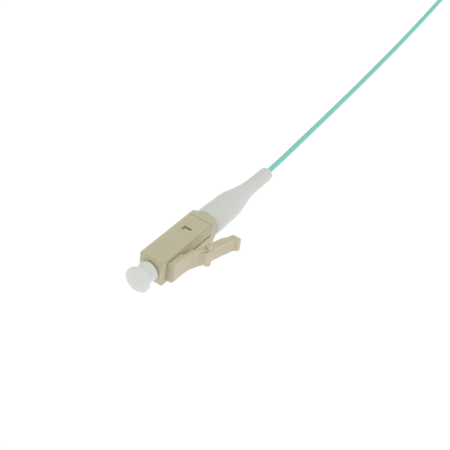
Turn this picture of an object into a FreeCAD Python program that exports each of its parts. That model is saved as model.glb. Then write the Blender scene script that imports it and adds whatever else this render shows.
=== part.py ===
import FreeCAD, Part
import math
import os

# A simplex fibre plug on a tight-buffered pigtail, in millimetres, lying on a plain side.
# The fibre axis is X. The plug's mating face is at X = 0 and +X points out of it.
# +Y is the latch side and +Z is up. A depth is counted rearwards from the mating face.

Vector = FreeCAD.Vector

# Plug housing
plug_side = 4.5
plug_length = 12.85
plug_edge = 0.1
nose_chamfer = 0.16
nose_bore = 2.1
nose_depth = 3.0
seat_wall = 0.8
seat_hole = 1.8
cavity_side = 3.3
cavity_corner = 0.3
window_width = 1.45
window_length = 1.0
window_depth = 8.83
window_shift = 0.1
slot_width = 0.3
slot_depth = 8.2
slot_drop = 0.05

# How far a fused piece sinks into its neighbour
weld = 0.1

# Latch arm, seen from above as depth and distance from the axis; the depths of the arm's
# outer and inner corners are counted from its hinge
root_front = 1.17
root_out = 3.38
root_corner = 0.5
root_rise = 0.09
root_thin = 0.75
root_gap_depth = 4.49
root_gap_height = 0.45
root_gap_corner = 0.25
hinge_depth = 4.93
hinge_out = 3.21
hinge_radius = 0.32
hinge_play = 0.03
lip_cut = 0.1
arm_front_half = 1.73
arm_taper = 0.0333
arm_outer = [(0.77, 3.78), (1.77, 4.26)]
arm_inner = [(2.4, 3.39), (1.5, 3.15), (0.46, 2.97)]
arm_bend = 1.1
lug_depth = 8.76
lug_out = 4.77
lug_radius = 0.6
lug_half = 2.0
lug_edge = 0.12
lever_half = 1.17
lever_end_depth = 14.4
lever_outer = [(6.7, 4.18), (7.71, 5.16), (9.63, 5.46), (11.41, 5.92), (13.4, 6.53)]
lever_inner = [(13.24, 5.45), (12.49, 4.92), (11.28, 4.66), (8.56, 3.78), (7.39, 3.59)]
lever_bend = 1.4
lip_out = 7.25
lip_length = 0.65
lip_inner = 5.68
lip_edge = 0.12

# Ferrule, flange, bare fibre and spring
ferrule_diameter = 1.249
ferrule_reach = 1.9
ferrule_length = 7.0
ferrule_chamfer = 0.2
fibre_diameter = 0.125
fibre_play = 0.001
fibre_length = 9.3
flange_sides = 6
flange_across = 2.5
flange_head = 1.6
flange_chamfer = 0.4
flange_tube = 1.4
flange_tube_length = 4.4
spring_wire = 0.25
spring_mean = 2.05
spring_turns = 5.0
spring_flats = 4
spring_end_play = 0.05

# Rear body
seam = 0.08
nose_play = 0.05
insert_lead = 0.5
pocket_bore = 2.5
pocket_length = 1.8
pass_bore = 1.6
pass_length = 3.2
tail_bore = 1.2
tab_sink = 0.35
tab_play = 0.08
tab_ramp = 0.35
collar_length = 1.87
collar_cone = 45.0
stub_diameter = 2.9
stub_length = 5.4
barb_diameter = 3.3
barb_pitch = 1.5
barb_count = 2
barb_length = 1.2
stub_lead = 0.5

# Boot, its outer corners as distance behind its front and radius
boot_lip_radius = 2.45
boot_outer = [(2.6, 2.45), (4.3, 2.33), (6.5, 2.33), (11.8, 1.36), (13.2, 1.26)]
boot_end_radius = 1.2
boot_rim = 0.25
boot_length = 18.45
boot_play = 0.05
boot_socket = 5.8
boot_hole = 1.3
boot_mouth = 1.1
boot_mouth_length = 1.5

# Dust cap
cap_rim_diameter = 4.42
cap_rim = 0.5
cap_dome = 0.12
cap_front = 3.5
cap_barrel_diameter = 3.6
cap_stand = 0.6
cap_end_edge = 0.15
cap_stem_diameter = 1.9
cap_stem_length = 2.0
cap_back = 0.1
cap_neck_diameter = 3.3
cap_neck_length = 1.0
cap_tip_room = 0.3
cap_play = 0.02

# Buffered fibre: where it begins, its route over the surface that the plug lies on, and its coil
buffer_diameter = 0.9
buffer_grip = 1.2
rest_drop = 2.45
route = [
    Vector(-22, 0, 0),
    Vector(-33.5, 0, 0),
    Vector(-46, -0.84, -0.12),
    Vector(-62, -2.2, -0.83),
    Vector(-80, -3.87, -1.6),
    Vector(-100, -5.75, -2),
    Vector(-122, -8.05, -2),
    Vector(-138, -9.97, -2),
]
coil_mean_diameter = 14.0
coil_width = 4.6
coil_height = 3.4
coil_edge = 0.8
tie_width = 3.0
tie_wall = 0.2
tie_play = 0.02

half_side = plug_side / 2


def corner_arc(before, corner, after, radius):
    """Tangent arc of the given radius in the corner between two straight runs."""
    back = (before - corner).normalize()
    ahead = (after - corner).normalize()
    turn = math.pi - back.getAngle(ahead)
    cut = radius * math.tan(turn / 2)
    sag = radius / math.cos(turn / 2) - radius
    middle = corner + (back + ahead).normalize() * sag
    return corner + back * cut, middle, corner + ahead * cut


def loop(points, radii=None):
    """Closed flat wire through the points; a corner with a radius is rounded by a tangent arc."""
    radii = radii or [0] * len(points)
    edges = []
    starts = []
    ends = []
    arcs = []
    for i, corner in enumerate(points):
        after = points[(i + 1) % len(points)]
        if radii[i]:
            first, middle, last = corner_arc(points[i - 1], corner, after, radii[i])
            arcs.append(Part.Arc(first, middle, last).toShape())
        else:
            first, last = corner, corner
            arcs.append(None)
        starts.append(first)
        ends.append(last)
    for i in range(len(points)):
        if arcs[i]:
            edges.append(arcs[i])
        following = starts[(i + 1) % len(points)]
        if ends[i].distanceToPoint(following) > 1e-6:
            edges.append(Part.LineSegment(ends[i], following).toShape())
    return Part.Wire(edges)


def turned(outline, radii=None):
    """Solid of revolution about the fibre axis from (x, radius) corners."""
    wire = loop([Vector(x, 0, r) for x, r in outline], radii)
    return Part.Face(wire).revolve(Vector(0, 0, 0), Vector(1, 0, 0), 360)


def rod(diameter, x_front, x_rear):
    """Round bar on the fibre axis."""
    return Part.makeCylinder(diameter / 2, x_front - x_rear, Vector(x_rear, 0, 0), Vector(1, 0, 0))


def bar(side, x_front, x_rear, corner=0):
    """Square bar on the fibre axis, its long edges rounded."""
    shape = Part.makeBox(x_front - x_rear, side, side, Vector(x_rear, -side / 2, -side / 2))
    if corner:
        shape = shape.makeFillet(corner, edges_along(shape, Vector(1, 0, 0)))
    return shape


def edges_along(shape, direction):
    """Straight edges that run in one direction."""
    found = []
    for edge in shape.Edges:
        run = edge.valueAt(edge.LastParameter) - edge.valueAt(edge.FirstParameter)
        if edge.Curve.TypeId == "Part::GeomLine" and abs(run.normalize().dot(direction)) > 0.999:
            found.append(edge)
    return found


def slab(outline, half, radii=None):
    """Solid seen from above as (depth, out) corners, reaching half to each side of the axis plane."""
    wire = loop([Vector(-depth, out, -half) for depth, out in outline], radii)
    return Part.Face(wire).extrude(Vector(0, 0, 2 * half))


def post(depth, out, radius, half):
    """Upright round bar, centred on the axis plane."""
    return Part.makeCylinder(radius, 2 * half, Vector(-depth, out, -half))


def tapered(shape):
    """Trims the arm to its width, which shrinks evenly towards the lever."""
    near, far = 0, lever_end_depth
    outline = []
    for depth, side in ((near, 1), (far, 1), (far, -1), (near, -1)):
        half = arm_front_half - arm_taper * (depth - root_front)
        outline.append(Vector(-depth, 0, side * half))
    band = Part.Face(loop(outline)).extrude(Vector(0, 2 * lug_out, 0))
    return shape.common(band)


def window_cutter():
    """Bar through both plain sides at the place of the two snap windows, a little off the middle."""
    return Part.makeBox(
        window_length, window_width, 2 * plug_side,
        Vector(-window_depth - window_length, -window_width / 2 - window_shift, -plug_side),
    )


def latch_root():
    """Block on the latch side that the arm springs from, with the seat of its thin bend."""
    end = hinge_depth - lip_cut
    outline = [
        (root_front, half_side - weld),
        (root_front, root_out),
        (hinge_depth - root_thin, root_out + root_rise),
        (end, hinge_out + hinge_radius),
        (end, hinge_out - hinge_radius),
        (root_gap_depth, half_side + root_gap_height),
        (root_gap_depth, half_side - weld),
    ]
    block = slab(outline, arm_front_half, [0, root_corner, 0, 0, 0, root_gap_corner, 0])
    seat = post(hinge_depth, hinge_out, hinge_radius + hinge_play, plug_side)
    return tapered(block).cut(seat)


def front_housing():
    """Square plug with its nose bore, spring cavity, two snap windows, side slot and latch root."""
    shell = bar(plug_side, 0, -plug_length)
    shell = shell.makeChamfer(nose_chamfer, [e for e in shell.Edges if e.BoundBox.XMin > -1e-6])
    shell = shell.makeFillet(plug_edge, edges_along(shell, Vector(1, 0, 0)))
    seat_front = -nose_depth
    seat_rear = seat_front - seat_wall
    shell = shell.cut(rod(nose_bore, 0, seat_front))
    shell = shell.cut(rod(seat_hole, seat_front, seat_rear))
    shell = shell.cut(bar(cavity_side, seat_rear, -plug_length, cavity_corner))
    shell = shell.cut(window_cutter())
    slot = Part.makeBox(
        plug_length - slot_depth, half_side, slot_width,
        Vector(-plug_length, half_side - (plug_side - cavity_side), -slot_drop - slot_width / 2),
    )
    return shell.cut(slot).fuse(latch_root()).removeSplitter()


def latch_lever():
    """Latch arm: tapered wide arm with its two lugs, then the narrow thumb lever and its end lip."""
    outer, inner = ([(hinge_depth + behind, out) for behind, out in side] for side in (arm_outer, arm_inner))
    wide = slab(
        [(hinge_depth, hinge_out + hinge_radius)]
        + outer
        + [
            (lug_depth - lug_radius / 2, lug_out + lug_radius * math.sqrt(3) / 2),
            (lug_depth + lug_radius, lug_out),
            (lug_depth + lug_radius, lug_out - lug_radius),
        ]
        + inner
        + [(hinge_depth, hinge_out - hinge_radius)],
        arm_front_half,
        [0, arm_bend, arm_bend, 0, 0, 0, arm_bend, arm_bend, arm_bend, 0],
    )
    lip_front = lever_end_depth - lip_length
    lever = slab(
        lever_outer
        + [(lip_front, lip_out - lip_edge), (lever_end_depth, lip_out), (lever_end_depth, lip_inner)]
        + lever_inner,
        lever_half,
        [0, lug_edge] + [lever_bend] * 2 + [lip_edge] * 4 + [0, lip_edge, lever_bend, 0, 0],
    )
    knuckle = post(hinge_depth, hinge_out, hinge_radius, arm_front_half)
    lugs = post(lug_depth, lug_out, lug_radius, lug_half)
    lugs = lugs.makeChamfer(lug_edge, [e for e in lugs.Edges if e.Closed])
    return tapered(wide.fuse(knuckle)).fuse([lever, lugs]).removeSplitter()


def ferrule():
    """Ceramic ferrule with a domed, chamfered tip and the fine hole for the glass."""
    tip, rear, radius = ferrule_reach, ferrule_reach - ferrule_length, ferrule_diameter / 2
    body = turned(
        [
            (tip, 0),
            (tip, radius - ferrule_chamfer),
            (tip - ferrule_chamfer, radius),
            (rear, radius),
            (rear, 0),
        ]
    )
    return body.cut(rod(fibre_diameter + 2 * fibre_play, tip, rear))


def glass_fibre():
    """Bare glass from the ferrule's tip into the flange tube."""
    return rod(fibre_diameter, ferrule_reach, ferrule_reach - fibre_length)


def flange_rear():
    """Rear end of the flange tube."""
    return -nose_depth - seat_wall - flange_head - flange_tube_length


def ferrule_flange():
    """Metal flange: six-sided head that seats in the plug, pressed on the ferrule, and its rear tube."""
    head_front = -nose_depth - seat_wall
    head_rear = head_front - flange_head
    socket_rear = ferrule_reach - ferrule_length
    corner = flange_across / 2 / math.cos(math.pi / flange_sides)
    buffer_seat = buffer_diameter / 2 + nose_play
    sides = [Vector(head_rear, corner * math.cos(a), corner * math.sin(a))
             for a in (2 * math.pi * i / flange_sides for i in range(flange_sides))]
    head = Part.Face(Part.makePolygon(sides + sides[:1])).extrude(Vector(flange_head, 0, 0))
    cone = turned([
        (head_rear, 0),
        (head_rear, corner),
        (head_front - flange_chamfer, corner),
        (head_front, corner - flange_chamfer),
        (head_front, 0),
    ])
    tube_rear = flange_rear()
    flange = head.common(cone).fuse(rod(flange_tube, head_rear, tube_rear)).removeSplitter()
    flange = flange.cut(rod(ferrule_diameter, head_front, socket_rear))
    lead = socket_rear - (buffer_diameter - fibre_diameter)
    funnel = turned([
        (socket_rear, 0),
        (socket_rear, fibre_diameter),
        (lead, buffer_seat),
        (tube_rear, buffer_seat),
        (tube_rear, 0),
    ])
    return flange.cut(funnel)


def spring_span():
    """Front and rear ends of the spring's room, from the flange head to the pocket's floor."""
    front = -nose_depth - seat_wall - flange_head
    rear = insert_lead - window_depth - pocket_length
    return front, rear


def spring():
    """Compression spring round the flange tube, with a few flats standing in for its round wire."""
    front, rear = spring_span()
    inset = spring_wire / 2 + spring_end_play
    height = front - rear - 2 * inset
    helix = Part.makeHelix(height / spring_turns, height, spring_mean / 2)
    angles = [2 * math.pi * i / spring_flats for i in range(spring_flats)]
    section = loop([
        Vector(spring_mean / 2 + spring_wire / 2 * math.cos(a), 0, spring_wire / 2 * math.sin(a))
        for a in angles])
    coil = Part.Wire(helix).makePipeShell([section], True, True)
    coil.rotate(Vector(0, 0, 0), Vector(0, 1, 0), 90)
    coil.translate(Vector(rear + inset, 0, 0))
    return coil


def snap_tab(side):
    """Ramped tab that clicks into a window of the plug."""
    front = -window_depth - tab_play
    rear = -window_depth - window_length + tab_play
    base = cavity_side / 2 - nose_play
    top = half_side - tab_sink
    corners = [
        Vector(front, 0, side * (base - weld)),
        Vector(front, 0, side * base),
        Vector(front - tab_ramp, 0, side * top),
        Vector(rear, 0, side * top),
        Vector(rear, 0, side * (base - weld)),
    ]
    width = window_width - 2 * tab_play
    tab = Part.Face(loop(corners)).extrude(Vector(0, width, 0))
    tab.translate(Vector(0, -width / 2 - window_shift, 0))
    return tab


def rear_body():
    """Rear half: spring pocket in a square insert, snap tabs, coned collar and barbed stub."""
    collar_front = -plug_length - seam
    collar_rear = collar_front - collar_length
    insert_front = insert_lead - window_depth
    stub_rear = collar_rear - stub_length
    insert_side = cavity_side - 2 * nose_play
    insert = bar(insert_side, insert_front, collar_front, cavity_corner)
    corner = half_side * math.sqrt(2)
    rise = (corner - half_side) / math.tan(math.radians(collar_cone))
    cone = turned([
        (collar_front, 0),
        (collar_front, corner),
        (collar_rear + rise, corner),
        (collar_rear, half_side),
        (collar_rear, 0),
    ])
    collar = bar(plug_side, collar_front, collar_rear, plug_edge).common(cone)
    stub = [(collar_rear, 0), (collar_rear, stub_diameter / 2)]
    for i in range(barb_count):
        peak = collar_rear - stub_lead - i * barb_pitch
        stub.append((peak, stub_diameter / 2))
        stub.append((peak, barb_diameter / 2))
        stub.append((peak - barb_length, stub_diameter / 2))
    stub += [(stub_rear, stub_diameter / 2), (stub_rear, 0)]
    body = collar.fuse([insert, turned(stub), snap_tab(1), snap_tab(-1)])
    pocket_floor = insert_front - pocket_length
    pass_rear = pocket_floor - pass_length
    body = body.cut(rod(pocket_bore, insert_front, pocket_floor))
    body = body.cut(rod(pass_bore, pocket_floor, pass_rear))
    return body.cut(rod(tail_bore, pass_rear, stub_rear)).removeSplitter()


def boot():
    """Soft strain relief: front lip on the collar's cone, socket over the barbs, slim neck, coned rim."""
    front = -plug_length - seam - collar_length
    rear = front - boot_length
    lip = (boot_lip_radius - half_side) / math.tan(math.radians(collar_cone))
    outline = [(front, 0), (front, half_side), (front + lip, boot_lip_radius)]
    outline += [(front - depth, radius) for depth, radius in boot_outer]
    outline += [(rear + boot_rim, boot_end_radius), (rear, boot_end_radius - boot_rim), (rear, 0)]
    shape = turned(outline)
    socket_rear = front - boot_socket
    mouth_front = rear + boot_mouth_length
    shape = shape.cut(rod(barb_diameter + 2 * boot_play, front, socket_rear))
    shape = shape.cut(rod(boot_hole, socket_rear, mouth_front))
    return shape.cut(rod(boot_mouth, mouth_front, rear))


def dust_cap():
    """Soft mushroom cap: low-domed disc, slim neck, wider barrel and a stem that grips the ferrule."""
    rim_radius = cap_rim_diameter / 2
    barrel_radius = cap_barrel_diameter / 2
    stem_radius = cap_stem_diameter / 2
    rim_rear = cap_front - cap_rim
    neck_rear = rim_rear - cap_back - cap_neck_length
    stem_rear = cap_stand - cap_stem_length
    body = turned([
        (cap_front + cap_dome, 0),
        (cap_front + cap_dome, rim_radius / 2),
        (cap_front, rim_radius),
        (rim_rear, rim_radius),
        (rim_rear - cap_back, cap_neck_diameter / 2),
        (neck_rear, cap_neck_diameter / 2),
        (cap_stand + cap_end_edge, barrel_radius),
        (cap_stand, barrel_radius - cap_end_edge),
        (cap_stand, stem_radius),
        (stem_rear, stem_radius),
        (stem_rear, 0),
    ])
    return body.cut(rod(ferrule_diameter + 2 * cap_play, ferrule_reach + cap_tip_room, stem_rear))


def buffered_fibre_end():
    """Straight front stretch of the buffered fibre, from the flange tube into the boot."""
    return rod(buffer_diameter, flange_rear() + buffer_grip, route[0].x)


def route_path():
    """Straight runs joined by tangent arcs, each arc as large as its two runs allow."""
    edges = []
    start = route[0]
    for i in range(1, len(route) - 1):
        before, corner, after = route[i - 1:i + 2]
        shorter = min((corner - before).Length, (after - corner).Length)
        turn = math.pi - (before - corner).getAngle(after - corner)
        radius = 0.45 * shorter / math.tan(turn / 2)
        print("arc radius at point", i, round(radius, 1))
        first, middle, last = corner_arc(before, corner, after, radius)
        edges.append(Part.LineSegment(start, first).toShape())
        edges.append(Part.Arc(first, middle, last).toShape())
        start = last
    edges.append(Part.LineSegment(start, route[-1]).toShape())
    return Part.Wire(edges)


def buffered_fibre():
    """Free stretch of the buffered fibre, from the boot to its coil."""
    path = route_path()
    heading = route[1] - route[0]
    section = Part.Wire(Part.Circle(route[0], heading, buffer_diameter / 2).toShape())
    tube = path.makePipeShell([section], True, False)
    ideal = math.pi * (buffer_diameter / 2) ** 2 * path.Length
    print("fibre path", round(path.Length, 2), "volume ratio", round(tube.Volume / ideal, 5))
    return tube


def coil_centre():
    """Middle of the coil: the fibre runs into its outer turn without a kink."""
    heading = (route[-1] - route[-2]).normalize()
    aside = Vector(heading.y, -heading.x, 0)
    outer_turn = (coil_mean_diameter + coil_width - buffer_diameter) / 2
    return route[-1] + aside * outer_turn


def coil_section(grow):
    """Section through the wound turns as (radius, height), its outer corners cut, grown outwards evenly."""
    inner = (coil_mean_diameter - coil_width) / 2 - grow
    outer = (coil_mean_diameter + coil_width) / 2 + grow
    low = tie_wall - rest_drop - grow
    high = tie_wall - rest_drop + coil_height + grow
    return Part.Face(loop([Vector(r, 0, z) for r, z in (
        (inner, low),
        (outer - coil_edge, low), (outer, low + coil_edge),
        (outer, high - coil_edge), (outer - coil_edge, high),
        (inner, high))]))


def fibre_coil():
    """Outer shape of the wound fibre: a flat ring lifted off the surface by its tie's thickness."""
    ring = coil_section(0).revolve(Vector(0, 0, 0), Vector(0, 0, 1), 360)
    centre = coil_centre()
    ring.translate(Vector(centre.x, centre.y, 0))
    return ring


def coil_tie():
    """Flat band wrapped round the coil on its far side."""
    sweep = math.degrees(tie_width / (coil_mean_diameter / 2))
    face = coil_section(tie_wall).cut(coil_section(tie_play))
    band = face.revolve(Vector(0, 0, 0), Vector(0, 0, 1), sweep)
    band.rotate(Vector(0, 0, 0), Vector(0, 0, 1), 180 - sweep / 2)
    centre = coil_centre()
    band.translate(Vector(centre.x, centre.y, 0))
    return band


nodes = {
    "front_housing": front_housing,
    "latch_lever": latch_lever,
    "ferrule": ferrule,
    "glass_fibre": glass_fibre,
    "ferrule_flange": ferrule_flange,
    "spring": spring,
    "rear_body": rear_body,
    "boot": boot,
    "dust_cap": dust_cap,
    "buffered_fibre_end": buffered_fibre_end,
    "buffered_fibre": buffered_fibre,
    "fibre_coil": fibre_coil,
    "coil_tie": coil_tie,
}

os.makedirs("parts", exist_ok=True)
for name, make in nodes.items():
    solid = make()
    print(name, solid.isValid(), len(solid.Solids), round(solid.Volume, 4))
    solid.exportStep(os.path.join("parts", name + ".step"))
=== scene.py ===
import math
import bmesh
import bpy
import numpy as np
from mathutils import Matrix, Vector


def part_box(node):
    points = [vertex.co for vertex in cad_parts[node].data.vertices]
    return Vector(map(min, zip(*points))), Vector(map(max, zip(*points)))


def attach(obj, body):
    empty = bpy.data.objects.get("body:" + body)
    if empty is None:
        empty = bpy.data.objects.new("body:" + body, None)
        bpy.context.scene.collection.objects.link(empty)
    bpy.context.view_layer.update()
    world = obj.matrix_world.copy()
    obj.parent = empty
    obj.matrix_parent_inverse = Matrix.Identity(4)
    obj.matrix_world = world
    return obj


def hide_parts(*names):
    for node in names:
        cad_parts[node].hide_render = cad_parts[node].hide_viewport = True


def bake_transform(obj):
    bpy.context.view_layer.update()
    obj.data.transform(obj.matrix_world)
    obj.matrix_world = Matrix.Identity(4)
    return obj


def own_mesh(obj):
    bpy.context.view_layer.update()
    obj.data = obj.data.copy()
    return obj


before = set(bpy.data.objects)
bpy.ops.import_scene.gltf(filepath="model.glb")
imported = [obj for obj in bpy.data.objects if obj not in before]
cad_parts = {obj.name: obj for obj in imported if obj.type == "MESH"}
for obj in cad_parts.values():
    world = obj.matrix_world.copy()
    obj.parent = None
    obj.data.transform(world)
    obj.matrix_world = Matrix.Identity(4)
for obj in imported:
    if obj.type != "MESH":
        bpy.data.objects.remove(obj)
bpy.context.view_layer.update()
scene = bpy.context.scene
scene.view_settings.view_transform = "Standard"
mm = 0.001
crease, turnedCrease = 32, 50  # degrees, edges sharper than this stay crisp; on turned pieces
facetTurn = 7  # degrees, most that a rounded corner turns from one facet to the next
sameSpot = 1e-7  # metres, vertices closer than this are one

# The plug lies with its fibre axis along X, mating face at X = 0 and latch towards +Y.
# Depths are counted in millimetres back from the mating face.


def linear(red, green, blue):
    # screen colour, 0 to 255, to the linear colour that sockets take: c / 12.92 when dark, and
    # else ((c + 0.055) / 1.055) to the power 2.4
    c = np.array([red, green, blue]) / 255
    c = np.where(c > 0.04045, ((c + 0.055) / 1.055) ** 2.4, c / 12.92)
    return (*c.tolist(), 1.0)


viewpoint = {
    "place": (0.116373, 0.077973, 0.123555),
    "target": (-0.016719, 0.002533, 0.0),
    "roll": 7.92,  # degrees, right side of the picture raised
    "lens": 96.64,  # millimetres, as the sensor
    "sensor": 36.0,
    "nearest": 0.01, "farthest": 20,
}


def addCamera():
    data = bpy.data.cameras.new("studioCamera")
    data.lens = viewpoint["lens"]
    data.sensor_width = viewpoint["sensor"]
    data.clip_start = viewpoint["nearest"]
    data.clip_end = viewpoint["farthest"]
    camera = bpy.data.objects.new("studioCamera", data)
    scene.collection.objects.link(camera)
    place = Vector(viewpoint["place"])
    aim = (Vector(viewpoint["target"]) - place).to_track_quat("-Z", "Y").to_matrix().to_4x4()
    roll = Matrix.Rotation(math.radians(viewpoint["roll"]), 4, "Z")
    camera.matrix_world = Matrix.Translation(place) @ aim @ roll
    scene.camera = camera


addCamera()
print("camera placed")


def meshFrom(name, points, faces):
    # points in metres, and faces as lists of their numbers
    mesh = bpy.data.meshes.new(name)
    mesh.from_pydata(points.reshape(-1, 3).tolist(), [], faces)
    mesh.validate()
    piece = bpy.data.objects.new(name, mesh)
    scene.collection.objects.link(piece)
    return piece


def gridFaces(rows, columns, closedRows=False):
    # quads between neighbouring rows of a grid whose columns run round and meet
    r = np.arange(rows if closedRows else rows - 1)[:, None]
    c = np.arange(columns)[None, :]
    up, side = (r + 1) % rows, (c + 1) % columns
    quads = [r * columns + c, r * columns + side, up * columns + side, up * columns + c]
    return np.stack(np.broadcast_arrays(*quads), -1).reshape(-1, 4).tolist()


def roundedLoop(corners, radii, step):
    # closed outline: each corner's arc is tangent to both its sides, straight sides are
    # divided evenly, and the whole comes out as one array of points
    corners = np.array(corners, float)
    back = np.roll(corners, 1, 0) - corners
    ahead = np.roll(corners, -1, 0) - corners
    back /= np.linalg.norm(back, axis=1)[:, None]
    ahead /= np.linalg.norm(ahead, axis=1)[:, None]
    radii = np.array(radii, float)
    half = np.arccos(np.clip((back * ahead).sum(1), -1, 1)) / 2
    cut = radii / np.tan(half)
    first = corners + back * cut[:, None]
    last = corners + ahead * cut[:, None]
    runs = []
    for i, corner in enumerate(corners):
        if radii[i] > 0:
            middle = corner + (back[i] + ahead[i]) / np.linalg.norm(back[i] + ahead[i]) \
                * radii[i] / math.sin(half[i])
            a, b = first[i] - middle, last[i] - middle
            turn = math.pi - 2 * half[i]
            count = max(3, int(turn / math.radians(facetTurn)))
            t = np.linspace(0, 1, count + 1)[:, None]
            runs.append(middle + (a * np.sin((1 - t) * turn) + b * np.sin(t * turn)) / math.sin(turn))
        else:
            runs.append(corner[None])
        start, end = runs[-1][-1], first[(i + 1) % len(corners)]
        pieces = int(np.linalg.norm(end - start) / step)
        if pieces > 1:
            t = np.linspace(0, 1, pieces + 1)[1:-1, None]
            runs.append(start + (end - start) * t)
    points = np.concatenate(runs)
    apart = np.linalg.norm(points - np.roll(points, 1, 0), axis=1) > sameSpot / mm
    return points[apart]


def outwards(loop):
    # unit normals of a closed outline: the line between the two neighbours of each point, turned
    # a quarter away from the inside
    tangent = np.roll(loop, -1, 0) - np.roll(loop, 1, 0)
    tangent /= np.linalg.norm(tangent, axis=1)[:, None]
    x, y = loop[:, 0], loop[:, 1]
    winding = np.sign((x * np.roll(y, -1) - np.roll(x, -1) * y).sum())
    return np.stack([tangent[:, 1], -tangent[:, 0]], 1) * winding


def prism(name, loop, half, edge, steps=4):
    # outline in depth and out, carried from low to high along Z: the section shrinks by
    # edge * (1 - cos a) as the height nears the end by edge * (1 - sin a), a quarter round
    a = np.linspace(0, math.pi / 2, steps + 1)
    inset = np.concatenate([edge * (1 - np.sin(a)), edge * (1 - np.cos(a))])
    level = np.concatenate([-half + edge * (1 - np.cos(a)), half - edge * (1 - np.sin(a))])
    rows = loop[None] - outwards(loop)[None] * inset[:, None, None]
    height = np.broadcast_to(level[:, None], rows.shape[:2])
    points = np.stack([-rows[..., 0], rows[..., 1], height], -1)
    count = len(loop)
    faces = gridFaces(len(level), count)
    faces += [list(range(count)), list(range(len(level) * count - 1, (len(level) - 1) * count - 1, -1))]
    return meshFrom(name, points * mm, faces)


def turnedShell(name, profile, sides=96):
    # closed profile of depth and radius, turned about the fibre axis
    a = np.linspace(0, 2 * math.pi, sides, endpoint=False)
    depth, radius = profile[:, 0, None], profile[:, 1, None]
    points = np.stack(np.broadcast_arrays(-depth, radius * np.cos(a), radius * np.sin(a)), -1)
    return meshFrom(name, points * mm, gridFaces(len(profile), sides, closedRows=True))


def facingOut(piece):
    # merges doubles, then turns every face outwards
    bm = bmesh.new()
    bm.from_mesh(piece.data)
    bmesh.ops.remove_doubles(bm, verts=bm.verts, dist=sameSpot)
    bmesh.ops.recalc_face_normals(bm, faces=bm.faces)
    bm.to_mesh(piece.data)
    bm.free()


def smooth(piece, angle=crease):
    piece.data.shade_smooth()
    piece.data.set_sharp_from_angle(angle=math.radians(angle))


def united(name, pieces):
    # one closed mesh from overlapping ones, which are used up
    whole = pieces[0]
    for other in pieces[1:]:
        cut = whole.modifiers.new("join", "BOOLEAN")
        cut.operation = "UNION"
        cut.solver = "EXACT"
        cut.object = other
    bpy.context.view_layer.update()
    seen = whole.evaluated_get(bpy.context.evaluated_depsgraph_get())
    mesh = bpy.data.meshes.new_from_object(seen)
    mesh.name = name
    for piece in pieces:
        bpy.data.objects.remove(piece)
    piece = bpy.data.objects.new(name, mesh)
    scene.collection.objects.link(piece)
    return piece


# one length of buffered fibre: out of the boot, over the floor and round in its coil
fibre = {
    "route": [
        (-22, 0, 0), (-33.5, 0, 0), (-46, -0.84, -0.12), (-62, -2.2, -0.83), (-80, -3.87, -1.6),
        (-100, -5.75, -2), (-122, -8.05, -2), (-138, -9.97, -2),
    ],
    "diameter": 0.9,
    "length": 0.9,  # metres, the whole pigtail
    "layers": [(4, -1.8), (5, -1.0), (5, -0.1), (4, 0.7)],  # turns and height of each layer
    "pitch": 0.925,
    "pointsPerTurn": 16,
    "stepPart": 0.2,  # share of a turn in which it steps over to the next
    "leadIn": 2,  # points left free between the route's end and the first turn
    "roundness": 4, "smoothness": 4, "order": 3,
}


def coilPoints(middle, ringMiddle, start):
    # flat spirals laid one on the other: the radius steps by one pitch in each turn, outwards
    # and inwards by turns, and the height steps at the end of each layer
    radii, heights = [], []
    inwards = True
    for count, height in fibre["layers"]:
        ends = (np.arange(count) - (count - 1) / 2) * fibre["pitch"] + ringMiddle
        ends = ends[::-1] if inwards else ends
        radii.append(ends)
        heights.append(np.full(count, height))
        inwards = not inwards
    radii, heights = np.concatenate(radii), np.concatenate(heights)
    t = np.arange(0, len(radii) * fibre["pointsPerTurn"]) / fibre["pointsPerTurn"]
    # each turn keeps its radius until its last part
    whole = np.floor(t).astype(int)
    part = np.clip(1 - (whole + 1 - t) / fibre["stepPart"], 0, 1)
    following = np.minimum(whole + 1, len(radii) - 1)
    radius = radii[whole] * (1 - part) + radii[following] * part
    height = heights[whole] * (1 - part) + heights[following] * part
    angle = start - 2 * math.pi * t
    return np.stack([middle[0] + radius * np.cos(angle), middle[1] + radius * np.sin(angle), height], 1)


def addFibre():
    # one curve through the route's points and the turns, in the box of the solid coil: the middle
    # of the winding is half the widest layer inside its outer edge
    low, high = (np.array(c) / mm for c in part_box("fibre_coil"))
    middle = (low + high)[:2] / 2
    outer = (high - low)[0] / 2
    widest = max(count for count, height in fibre["layers"])
    ringMiddle = outer - fibre["diameter"] / 2 - (widest - 1) / 2 * fibre["pitch"]
    route = np.array(fibre["route"], float)
    arrival = route[-1, :2] - middle
    start = math.atan2(arrival[1], arrival[0])
    start -= fibre["leadIn"] * 2 * math.pi / fibre["pointsPerTurn"]
    turns = coilPoints(middle, ringMiddle, start)
    points = np.concatenate([route, turns])
    curve = bpy.data.curves.new("aqua_fibre", "CURVE")
    curve.dimensions = "3D"
    curve.bevel_depth = fibre["diameter"] / 2 * mm
    curve.bevel_resolution = fibre["roundness"]
    curve.resolution_u = fibre["smoothness"]
    curve.use_fill_caps = True
    spline = curve.splines.new("NURBS")
    spline.points.add(len(points) - 1)
    spline.points.foreach_set("co", np.c_[points * mm, np.ones(len(points))].ravel())
    spline.order_u = fibre["order"]
    spline.use_endpoint_u = True
    piece = bpy.data.objects.new("aqua_fibre", curve)
    scene.collection.objects.link(piece)
    return piece


aquaFibre = addFibre()
print("fibre laid and coiled")


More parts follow.
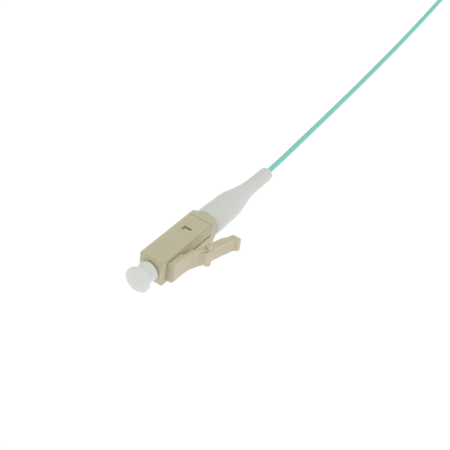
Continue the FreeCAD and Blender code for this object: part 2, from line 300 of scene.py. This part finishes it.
# root block, sprung arm with two lugs, and thumb lever with its end lip
latch = {
    "rootStart": 1.16, "rootOut": 3.395, "rootRear": 4.5, "sideOut": 2.2, "gapOut": 2.69,
    "armOuter": [  # depth and distance out
        (4.18, 3.485), (5.05, 3.57), (5.7, 3.77), (7.0, 4.32), (8.6, 5.3), (9.36, 4.8), (9.36, 4.2),
    ],
    "armInner": [(7.33, 3.38), (6.43, 3.14), (5.39, 2.96), (4.93, 2.88)],
    "armBends": [0, 0.55, 1.5, 1.5, 1.2, 0.3, 0.3, 0.4, 0.1, 1.2, 1.2, 1.2, 0.5, 0.2, 0],
    "armHalf": 1.745, "armTaper": 0.0333, "armEdge": 0.09,
    "leverOuter": [
        (6.7, 4.1), (7.71, 5.22), (9.63, 5.52), (11.41, 5.98), (13.4, 6.59), (13.75, 7.14), (14.4, 7.29),
    ],
    "leverInner": [
        (14.4, 5.55), (13.24, 5.25), (12.49, 4.7), (11.28, 4.4), (10.3, 4.12), (8.56, 3.78), (7.39, 3.69),
    ],
    "leverBends": [0, 0.12, 1.5, 1.5, 0.2, 0.15, 0.2, 0.15, 1.0, 1.2, 1.5, 1.5, 0, 0],
    "leverHalf": 1.17, "leverEdge": 0.09,
    "lugDepth": 8.76, "lugOut": 4.76, "lugRadius": 0.58, "lugHalf": 2.15, "lugEdge": 0.3, "lugSides": 40,
    "step": 0.2,  # longest straight side of a facet
    "hinge": (4.93, 3.21), "bendStart": 4.6, "bendEnd": 5.4,
}


def addArm():
    # the arm's outline as a prism of half width 1, whose half width is then made to shrink
    # evenly with depth: armHalf + armTaper * (rootStart - depth)
    d = latch
    outline = [(d["rootStart"], d["sideOut"]), (d["rootStart"], d["rootOut"])] + d["armOuter"] \
        + d["armInner"] + [(d["rootRear"], d["gapOut"]), (d["rootRear"], d["sideOut"])]
    loop = roundedLoop(outline, d["armBends"], d["step"])
    piece = prism("arm", loop, 1, d["armEdge"] / d["armHalf"])
    co = np.empty(len(piece.data.vertices) * 3, np.float32)
    piece.data.vertices.foreach_get("co", co)
    co = co.reshape(-1, 3)
    co[:, 2] *= d["armHalf"] + d["armTaper"] * (co[:, 0] / mm + d["rootStart"])
    piece.data.vertices.foreach_set("co", co.ravel())
    return piece


def addLugs():
    # one round bar through the arm: depth = lugDepth + r * cos(a), out = lugOut + r * sin(a)
    d = latch
    a = np.linspace(0, 2 * math.pi, d["lugSides"], endpoint=False)
    depth = d["lugDepth"] + d["lugRadius"] * np.cos(a)
    ring = np.stack([depth, d["lugOut"] + d["lugRadius"] * np.sin(a)], 1)
    return prism("lugs", ring, d["lugHalf"], d["lugEdge"])


def addLatch():
    # arm, lever and lugs made one solid
    d = latch
    outline = roundedLoop(d["leverOuter"] + d["leverInner"], d["leverBends"], d["step"])
    parts = [addArm(), prism("lever", outline, d["leverHalf"], d["leverEdge"]), addLugs()]
    for part in parts:
        facingOut(part)
    whole = united("latch_moulding", parts)
    facingOut(whole)
    smooth(whole)
    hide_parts("latch_lever")
    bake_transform(whole)
    return whole


latchMoulding = addLatch()
print("latch moulded")


# strain relief, from its lip on the collar to its rounded rear rim
boot = {
    "front": 14.8, "rear": 33.25, "coneRadius": 2.25, "lip": (14.72, 2.31),
    "skin": [  # depth and radius
        (15.5, 2.46), (17.4, 2.46), (19.1, 2.34), (20.9, 2.34), (22.0, 2.22), (26.6, 1.35), (28.1, 1.26),
    ],
    "endRadius": 1.21, "hole": 0.55, "holeDepth": 1.5, "bore": 0.65, "socket": 1.7, "socketLength": 5.8,
    "bends": [0, 0, 0.05, 1, 3, 3, 2.5, 2.5, 4, 4, 0.3, 0.12, 0, 0, 0, 0],
    "step": 0.35,
}


def addBoot():
    # the section runs out over the lip and along the skin, round the end, and back through the
    # hole, the bore and the wide socket, and it is turned about the axis
    b = boot
    holeFront, socketRear = b["rear"] - b["holeDepth"], b["front"] + b["socketLength"]
    outline = [(b["front"], b["socket"]), (b["front"], b["coneRadius"]), b["lip"]] + b["skin"] + [
        (b["rear"], b["endRadius"]), (b["rear"], b["hole"]), (holeFront, b["hole"]), (holeFront, b["bore"]),
        (socketRear, b["bore"]), (socketRear, b["socket"]),
    ]
    piece = turnedShell("soft_boot", roundedLoop(outline, b["bends"], b["step"]))
    facingOut(piece)
    smooth(piece, turnedCrease)
    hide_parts("boot")
    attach(piece, "plug")
    return piece


softBoot = addBoot()
print("boot turned")


# press-on cap: low-domed disc, neck, wider barrel and a stem with the ferrule's bore
cap = {
    "dome": -3.62, "domeRadius": 0.9, "rimFront": -3.5, "rimRear": -2.8, "rimRadius": 2.19,
    "underRim": (-2.72, 1.9), "neckFront": -2.45, "neckRear": -2.15, "neckRadius": 1.4,
    "barrelFront": -0.8, "barrelRadius": 1.73, "stand": -0.38,
    "stemRadius": 0.95, "stemEnd": 1.4, "bore": 0.6445, "boreFront": -2.2,
    "bends": [0, 3.0, 0.15, 0.15, 0.1, 0.15, 1.0, 0.5, 0.08, 0.05, 0.12, 0.05, 0, 0],
    "step": 0.2,
}


def addCap():
    # the section runs from the dome's middle over the rim, the neck and the barrel to the stem's
    # end, and back through the bore to its bottom, and it is turned about the axis
    c = cap
    outline = [
        (c["dome"], 0.0), (c["dome"], c["domeRadius"]),
        (c["rimFront"], c["rimRadius"]), (c["rimRear"], c["rimRadius"]), c["underRim"],
        (c["neckFront"], c["neckRadius"]), (c["neckRear"], c["neckRadius"]),
        (c["barrelFront"], c["barrelRadius"]), (c["stand"], c["barrelRadius"]),
        (c["stand"], c["stemRadius"]), (c["stemEnd"], c["stemRadius"]), (c["stemEnd"], c["bore"]),
        (c["boreFront"], c["bore"]), (c["boreFront"], 0.0),
    ]
    piece = turnedShell("soft_cap", roundedLoop(outline, c["bends"], c["step"]))
    facingOut(piece)
    smooth(piece, turnedCrease)
    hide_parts("dust_cap")
    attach(piece, "cap")
    return piece


softCap = addCap()
print("cap turned")


# compression spring of round wire with closed ends, between the flange and the pocket's floor
spring = {
    "front": 5.45, "rear": 10.08, "meanRadius": 1.025, "wire": 0.25, "turns": 7, "closedTurns": 1,
    "wireSides": 12, "stepsPerTurn": 40, "seat": 10.13, "stroke": 0.9, "head": 5.4,
}


def addSpring():
    # a circle swept along a helix: its depth grows by one wire a turn in the closed end turns and
    # evenly between them, and across is the helix's direction crossed with the outward one
    d = spring
    turn = np.linspace(0, d["turns"], d["turns"] * d["stepsPerTurn"] + 1)
    closed, wire = d["closedTurns"], d["wire"]
    start, end = d["front"] + wire / 2, d["rear"] - wire / 2
    depth = np.interp(turn, [0, closed, d["turns"] - closed, d["turns"]],
                      [start, start + closed * wire, end - closed * wire, end])
    angle = 2 * math.pi * turn
    outward = np.stack([np.zeros_like(turn), np.cos(angle), np.sin(angle)], 1)
    line = outward * d["meanRadius"] + np.stack([-depth, 0 * depth, 0 * depth], 1)
    tangent = np.gradient(line, axis=0)
    tangent /= np.linalg.norm(tangent, axis=1)[:, None]
    across = np.cross(tangent, outward)
    a = np.linspace(0, 2 * math.pi, d["wireSides"], endpoint=False)[None, :, None]
    points = line[:, None] + wire / 2 * (outward[:, None] * np.cos(a) + across[:, None] * np.sin(a))
    sides, rows = d["wireSides"], len(turn)
    faces = gridFaces(rows, sides) + [list(range(sides)), list(range((rows - 1) * sides, rows * sides))]
    piece = meshFrom("round_spring", points * mm, faces)
    facingOut(piece)
    smooth(piece, turnedCrease)
    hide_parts("spring")
    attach(piece, "plug")
    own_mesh(piece)
    return piece


roundSpring = addSpring()
print("spring wound")


def newGroup(name, inputs, outputs):
    group = bpy.data.node_groups.new(name, "ShaderNodeTree")
    for socket, kind, value in inputs:
        made = group.interface.new_socket(socket, in_out="INPUT", socket_type="NodeSocket" + kind)
        made.default_value = value
    for socket, kind in outputs:
        group.interface.new_socket(socket, in_out="OUTPUT", socket_type="NodeSocket" + kind)
    return group, group.nodes.new("NodeGroupInput"), group.nodes.new("NodeGroupOutput")


def addNode(tree, kind, settings=None, links=None):
    # a node, its properties and fixed inputs, and what feeds its other inputs
    node = tree.nodes.new("ShaderNode" + kind)
    for key, value in (settings or {}).items():
        if isinstance(key, str) and hasattr(node, key):
            setattr(node, key, value)
        else:
            node.inputs[key].default_value = value
    for key, source in (links or {}).items():
        tree.links.new(source, node.inputs[key])
    return node


def feed(tree, node, values):
    # fills a node's inputs by their numbers, each from another socket or with a plain value
    for key, value in values.items():
        if isinstance(value, bpy.types.NodeSocket):
            tree.links.new(value, node.inputs[key])
        else:
            node.inputs[key].default_value = value
    return node


def worked(tree, operation, *values):
    # one Math node on up to three sockets or numbers
    return feed(tree, addNode(tree, "Math", {"operation": operation}), dict(enumerate(values))).outputs[0]


def allOf(tree, *masks):
    # the product of masks: 1 only where all of them are
    whole = masks[0]
    for mask in masks[1:]:
        whole = worked(tree, "MULTIPLY", whole, mask)
    return whole


def faded(tree, value, full, none):
    # 1 where the value is at full, 0 where it is at none, even between them and held outside
    values = {0: value, 1: full, 2: none, 3: 1.0, 4: 0.0}
    return feed(tree, addNode(tree, "MapRange"), values).outputs[0]


def mixed(tree, factor, first, second):
    # the first value where the factor is 0 and the second where it is 1
    return feed(tree, addNode(tree, "Mix"), {0: factor, 2: first, 3: second}).outputs[0]


def mixedColor(tree, factor, first, second):
    # the same for colours
    node = addNode(tree, "Mix", {"data_type": "RGBA"})
    return feed(tree, node, {0: factor, 6: first, 7: second}).outputs[2]


def lit(tree, color, level):
    # the colour times a level
    node = addNode(tree, "VectorMath", {"operation": "SCALE"}, {0: color, "Scale": level})
    return node.outputs[0]


mouldSkin = {"Blotch": 0.03, "Grain": 0.015, "Blotch Scale": 400, "Grain Scale": 25000}  # per metre


def makeMouldTone():
    # soft blotches and fine grain of moulded plastic: level = 1 + 2 * (blotch * (n1 - 0.5)
    # + grain * (n2 - 0.5)) of two noises, and the finer one is the height of the skin
    group, entry, out = newGroup(
        "mouldTone",
        [("Color", "Color", (0.5, 0.5, 0.5, 1))] + [(key, "Float", mouldSkin[key]) for key in mouldSkin],
        [("Color", "Color"), ("Height", "Float")])
    given = entry.outputs
    place = addNode(group, "TexCoord").outputs["Object"]
    coarse = addNode(group, "TexNoise", {"Detail": 3}, {"Vector": place, "Scale": given["Blotch Scale"]})
    fine = addNode(group, "TexNoise", {"Detail": 2}, {"Vector": place, "Scale": given["Grain Scale"]})
    parts = []
    for noise, amount in ((coarse, "Blotch"), (fine, "Grain")):
        centred = worked(group, "SUBTRACT", noise.outputs["Fac"], 0.5)
        parts.append(worked(group, "MULTIPLY", centred, given[amount]))
    level = worked(group, "MULTIPLY_ADD", worked(group, "ADD", *parts), 2, 1)
    group.links.new(lit(group, given["Color"], level), out.inputs["Color"])
    group.links.new(fine.outputs["Fac"], out.inputs["Height"])
    return group


mouldTone = makeMouldTone()

# where the painted shade and painted light on the square plastic sit: millimetres from the axis, or ahead of
# the mating face
paintedShadeMarks = {
    "Skin": 2.24, "Front": -0.2, "Rear": -12.8, "Slot": 0.2,
    "Edge": 2.14, "Line": -0.12, "Line Half": 0.06,
    "Foot Y": 2.28, "Foot Y Half": 0.05, "Foot Z": 1.74, "Foot Z Half": 0.13,
    "Foot Front": -1.1, "Foot Rear": -4.6,
    "Tab X": -9.33, "Tab X Half": 0.6, "Tab Y": 0.9, "Tab Z": 1.95, "Tab Z Half": 0.1,
    "Face": -0.05, "Face Near": 1.8, "Face Far": 2.6,
    "Side": 2.25, "Side Half": 0.01, "Side Start": -4.6, "Side Front": -9.0, "Side Rear": -14.5,
    "Side Low": 1.4, "Side High": 2.1,
}
# how strong the painted shade and painted light are, as levels of the skin
paintedShadeLevels = {
    "Edge Shade": 0.86, "Foot Shade": 0.84, "Tab Light": 1.28, "Face Light": 0.22, "Side Light": 0.2,
}


def makePaintedSquareShade():
    # paints light and shade on the square plastic: the level of the skin is 1; where |y| and |z|
    # are both over the edge, and on the line round the nose, it is the edge level, a painted shade,
    # and in a narrow strip beside the latch's root the foot level, a painted contact shadow
    # the face level, painted light, is added on the nose and fades with the distance from the axis,
    # and the side level, painted light, is added under the arm and fades rearwards and upwards
    # where |y| and |z| are both under the skin and x is between front and rear, the wall colour, a
    # painted shade, takes the skin's place, and the slot colour, a painted warm shade, where |z| is
    # small; on the tabs the colour itself is back, times the tab level, a painted light
    sizes = [(key, "Float", value * mm) for key, value in paintedShadeMarks.items()]
    levels = [(key, "Float", value) for key, value in paintedShadeLevels.items()]
    colors = [(key, "Color", (0.5, 0.5, 0.5, 1)) for key in ("Color", "Wall Shade Color", "Slot Shade Color")]
    group, entry, out = newGroup("paintedSquareShade", colors + sizes + levels, [("Color", "Color")])
    given = entry.outputs
    place = addNode(group, "TexCoord").outputs["Object"]
    x, sideways, upwards = addNode(group, "SeparateXYZ", links={0: place}).outputs
    y, z = worked(group, "ABSOLUTE", sideways), worked(group, "ABSOLUTE", upwards)

    def near(value, name):
        # 1 where the value is within half a width of the place of that name
        return worked(group, "COMPARE", value, given[name], given[name + " Half"])

    def along(front, rear):
        # 1 between two depths
        ahead = worked(group, "LESS_THAN", x, given[front])
        return allOf(group, ahead, worked(group, "GREATER_THAN", x, given[rear]))

    # painted shade along the long edges and on a line round the nose's chamfer
    edge = worked(group, "GREATER_THAN", worked(group, "MINIMUM", y, z), given["Edge"])
    edge = worked(group, "MAXIMUM", edge, near(x, "Line"))
    level = mixed(group, edge, 1.0, given["Edge Shade"])
    # painted contact shadow in a narrow strip beside the latch's root
    foot = allOf(group, near(sideways, "Foot Y"), near(z, "Foot Z"), along("Foot Front", "Foot Rear"))
    level = mixed(group, foot, level, given["Foot Shade"])

    # painted light on the nose's face round the cap's barrel, fading outwards from the axis
    across = feed(group, addNode(group, "CombineXYZ"), {1: sideways, 2: upwards}).outputs[0]
    distance = addNode(group, "VectorMath", {"operation": "LENGTH"}, {0: across}).outputs["Value"]
    face = allOf(group, faded(group, distance, given["Face Near"], given["Face Far"]),
                 worked(group, "GREATER_THAN", x, given["Face"]))
    level = worked(group, "MULTIPLY_ADD", face, given["Face Light"], level)
    # painted light on the side under the arm, fading rearwards and upwards
    side = allOf(group, near(sideways, "Side"), worked(group, "LESS_THAN", x, given["Side Start"]),
                 faded(group, x, given["Side Front"], given["Side Rear"]),
                 faded(group, upwards, given["Side Low"], given["Side High"]))
    level = worked(group, "MULTIPLY_ADD", side, given["Side Light"], level)

    # painted shade: a darker wall colour in the recesses and a warm slot colour in the slot
    deep = worked(group, "LESS_THAN", worked(group, "MAXIMUM", y, z), given["Skin"])
    slot = worked(group, "LESS_THAN", z, given["Slot"])
    wall = mixedColor(group, slot, given["Wall Shade Color"], given["Slot Shade Color"])
    skin = lit(group, given["Color"], level)
    color = mixedColor(group, allOf(group, deep, along("Front", "Rear")), skin, wall)
    # painted light: the tabs' tops lighter than the skin
    tab = allOf(group, worked(group, "LESS_THAN", y, given["Tab Y"]), near(x, "Tab X"), near(z, "Tab Z"))
    color = mixedColor(group, tab, color, lit(group, given["Color"], given["Tab Light"]))
    group.links.new(color, out.inputs["Color"])
    return group


paintedSquareShade = makePaintedSquareShade()


def newMaterial(name, settings):
    material = bpy.data.materials.new(name)
    material.use_nodes = True
    tree = material.node_tree
    shader = tree.nodes["Principled BSDF"]
    for key, value in settings.items():
        shader.inputs[key].default_value = value
    return material, tree, shader


def addGroup(tree, group, values):
    node = addNode(tree, "Group", {"node_tree": group})
    return feed(tree, node, values)


def moulded(name, color, settings, skin=None, shades=None, bump=0.0006):
    # a material whose colour and normal come from mouldTone, with the bump's height in
    # millimetres; where shades for the walls are given, the colour then passes through the group
    # that paints shade and light on the square plastic
    material, tree, shader = newMaterial(name, settings)
    tone = addGroup(tree, mouldTone, {"Color": color, **mouldSkin, **(skin or {})})
    relief = addNode(tree, "Bump", {"Strength": 0.5, "Distance": bump * mm},
                     {"Height": tone.outputs["Height"]})
    tree.links.new(relief.outputs["Normal"], shader.inputs["Normal"])
    shown = tone.outputs["Color"]
    if shades:
        shown = addGroup(tree, paintedSquareShade, {"Color": shown, **shades}).outputs["Color"]
    tree.links.new(shown, shader.inputs["Base Color"])
    return material


def translucent(roughness, weight, *radius):
    # shader settings of a soft or thin plastic, the radius of its glow in millimetres
    return {"Roughness": roughness, "Subsurface Weight": weight,
            "Subsurface Radius": tuple(r * mm for r in radius), "Subsurface Scale": 1.0}


finishes = {
    "plug_plastic": moulded(
        "plug_plastic", linear(203, 197, 174), translucent(0.42, 0.5, 1.2, 0.9, 0.6),
        # the wall and slot colours are painted shade inside the housing's recesses and its side slot
        shades={"Wall Shade Color": linear(172, 152, 92), "Slot Shade Color": linear(226, 178, 112)}),
    "body_plastic": moulded(
        "body_plastic", linear(203, 197, 172), translucent(0.42, 0.4, 1.2, 0.9, 0.6),
        # the same painted shade on the rear body's insert, in its deeper parts and slot
        shades={"Wall Shade Color": linear(165, 140, 85), "Slot Shade Color": linear(210, 160, 100), "Skin": 1.72 * mm}),
    "boot_rubber": moulded(
        "boot_rubber", linear(217, 220, 220), translucent(0.5, 0.25, 1.2, 1.3, 1.2),
        skin={"Blotch": 0.02, "Grain": 0.005}),
    "cap_plastic": moulded(
        "cap_plastic", linear(225, 228, 227), translucent(0.38, 0.4, 1.2, 1.2, 1.2),
        skin={"Blotch": 0.015, "Grain": 0.005}),
    "buffer_plastic": moulded(
        "buffer_plastic", linear(134, 214, 210), {"Roughness": 0.4},
        skin={"Blotch": 0.02, "Grain": 0.005}, bump=0.0003),
    "zirconia": moulded(
        "zirconia", linear(240, 239, 232), {"Roughness": 0.12}, skin={"Blotch": 0.01, "Grain": 0.0}),
    "flange_metal": moulded("flange_metal", linear(196, 192, 182), {"Roughness": 0.28, "Metallic": 1.0}),
    "spring_steel": moulded("spring_steel", linear(188, 190, 194), {"Roughness": 0.25, "Metallic": 1.0}),
    "tie_plastic": moulded("tie_plastic", linear(228, 230, 228), {"Roughness": 0.45}),
    "glass": newMaterial("glass", {"Base Color": linear(248, 250, 250), "Roughness": 0.05,
                                   "Transmission Weight": 1.0, "IOR": 1.46})[0],
}


def finish(piece, slot):
    piece.data.materials.clear()
    piece.data.materials.append(finishes[slot])


finish(latchMoulding, "plug_plastic")
finish(softBoot, "boot_rubber")
finish(softCap, "cap_plastic")
finish(roundSpring, "spring_steel")
finish(aquaFibre, "buffer_plastic")
keptSolids = {
    "front_housing": "plug_plastic", "rear_body": "body_plastic", "ferrule": "zirconia",
    "ferrule_flange": "flange_metal", "glass_fibre": "glass", "buffered_fibre_end": "buffer_plastic",
    "coil_tie": "tie_plastic",
}
for node, slot in keptSolids.items():
    finish(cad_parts[node], slot)

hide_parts("buffered_fibre", "fibre_coil")
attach(aquaFibre, "plug")
print("finishes given")


studio = {
    "floorHeight": -2.45, "floorSize": 4000,  # millimetres
    "floorGlow": 0.98, "floorLit": 0.05,  # what the camera sees: its own light and how much it reflects
    "floorFill": (0.545, 0.49, 0.585), "bounce": 0.8,  # the same two for the light that it sends back
    "sky": (0.585, 0.578, 0.51), "skySeen": (1.0, 1.0, 1.0),
    "lampSize": 0.3,
    "lamps": [  # place in metres, power in watts, colour
        ((-0.05, -0.05, 0.5), 0.49, (0.88, 1.0, 0.97)),
        ((-0.25, 0.22, 0.38), 0.37, (1.0, 0.95, 0.98)),
    ],
}


def addFloor():
    # a large square, white to the camera and to glossy and clear surfaces, that still takes shadows
    s = studio
    half, z = s["floorSize"] / 2, s["floorHeight"]
    corners = np.array([(-half, -half, z), (half, -half, z), (half, half, z), (-half, half, z)]) * mm
    floor = meshFrom("studioFloor", corners, [[0, 1, 2, 3]])
    material, tree, shader = newMaterial("studioFloor", {"Roughness": 1.0, "Specular IOR Level": 0.0})
    path = addNode(tree, "LightPath").outputs
    seen = worked(tree, "MAXIMUM", path["Is Camera Ray"], path["Is Glossy Ray"])
    seen = worked(tree, "MAXIMUM", seen, path["Is Transmission Ray"])
    shade = mixedColor(tree, seen, (s["bounce"],) * 3 + (1,), (s["floorLit"],) * 3 + (1,))
    glow = mixedColor(tree, seen, (*s["floorFill"], 1), (s["floorGlow"],) * 3 + (1,))
    tree.links.new(shade, shader.inputs["Base Color"])
    tree.links.new(glow, shader.inputs["Emission Color"])
    shader.inputs["Emission Strength"].default_value = 1
    floor.data.materials.append(material)


def addLamps():
    for place, power, color in studio["lamps"]:
        data = bpy.data.lights.new("softLamp", "AREA")
        data.size = studio["lampSize"]
        data.energy = power
        data.color = color
        lamp = bpy.data.objects.new("softLamp", data)
        scene.collection.objects.link(lamp)
        lamp.location = place
        lamp.rotation_euler = (-Vector(place)).to_track_quat("-Z", "Y").to_euler()


def addSky():
    # an even pale sky that the camera sees as white
    world = bpy.data.worlds.new("studio")
    scene.world = world
    world.use_nodes = True
    tree = world.node_tree
    camera = addNode(tree, "LightPath").outputs["Is Camera Ray"]
    color = mixedColor(tree, camera, (*studio["sky"], 1), (*studio["skySeen"], 1))
    tree.links.new(color, tree.nodes["Background"].inputs["Color"])


addFloor()
addLamps()
addSky()
print("studio lit")
